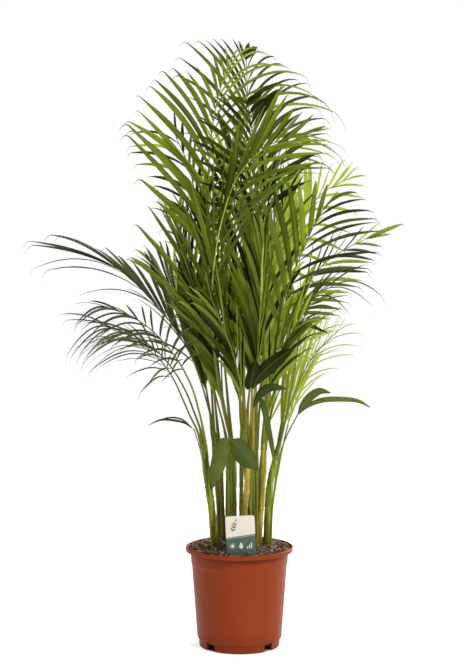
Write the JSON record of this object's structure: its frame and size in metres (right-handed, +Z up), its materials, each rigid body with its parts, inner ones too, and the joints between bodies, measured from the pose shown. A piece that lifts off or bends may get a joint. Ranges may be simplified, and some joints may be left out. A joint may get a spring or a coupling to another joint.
{
  "type": "potted palm",
  "caption": "Clump-forming palm with slender ringed canes and arching feather fronds, in a tapered round plastic nursery pot with soil and a plain plant label.",
  "frame": {"origin": "centre of the flat pad under the pot's floor, on the pot's axis and level with its foot ring", "axes": "+Z up along the pot's axis; the plant's front, with the label, faces -Y; +X to the right seen from the front"},
  "size_m": [0.7411, 0.6131, 1.2315],
  "materials": {
    "pot_plastic": "satin",
    "potting_mix": "matte",
    "label_card": "satin",
    "cane_olive": "satin",
    "cane_brown": "satin",
    "cane_green": "satin",
    "cane_gold": "satin",
    "leaf_green": "satin",
    "leaf_dark": "satin",
    "leaf_light": "satin",
    "leaf_grey_green": "satin",
    "leaf_young": "satin"
  },
  "bodies": {
    "root": {"pot": "pot_plastic", "soil": "potting_mix", "plant_label": "label_card", "cane_01": "cane_olive", "cane_02": "cane_brown", "cane_03": "cane_green", "cane_04": "cane_olive", "cane_05": "cane_gold", "cane_06": "cane_green", "cane_07": "cane_gold", "cane_08": "cane_green", "cane_09": "cane_olive", "cane_10": "cane_olive", "cane_11": "cane_green", "cane_12": "cane_green", "cane_13": "cane_green", "cane_14": "cane_olive", "cane_15": "cane_green", "frond_01": "leaf_grey_green", "frond_02": "leaf_grey_green", "frond_03": "leaf_dark", "frond_04": "leaf_green", "frond_05": "leaf_green", "frond_06": "leaf_light", "frond_07": "leaf_green", "frond_08": "leaf_dark", "frond_09": "leaf_dark", "frond_10": "leaf_light", "frond_11": "leaf_dark", "frond_12": "leaf_green", "frond_13": "leaf_grey_green", "frond_14": "leaf_dark", "frond_15": "leaf_light", "frond_16": "leaf_light", "frond_17": "leaf_dark", "frond_18": "leaf_green", "frond_19": "leaf_dark", "frond_20": "leaf_green", "frond_21": "leaf_dark", "frond_22": "leaf_green", "frond_23": "leaf_green", "frond_24": "leaf_dark", "frond_25": "leaf_light", "frond_26": "leaf_green", "frond_27": "leaf_dark", "frond_28": "leaf_green", "frond_29": "leaf_green", "frond_30": "leaf_light", "frond_31": "leaf_dark", "young_leaf_front": "leaf_young", "young_leaf_strap": "leaf_young", "young_leaf_right": "leaf_young", "young_leaf_centre": "leaf_young", "young_leaf_left": "leaf_young", "young_shoot_right": "leaf_light", "young_shoot_back_right": "leaf_light", "young_shoot_far_right": "leaf_light"}
  },
  "joints": []
}
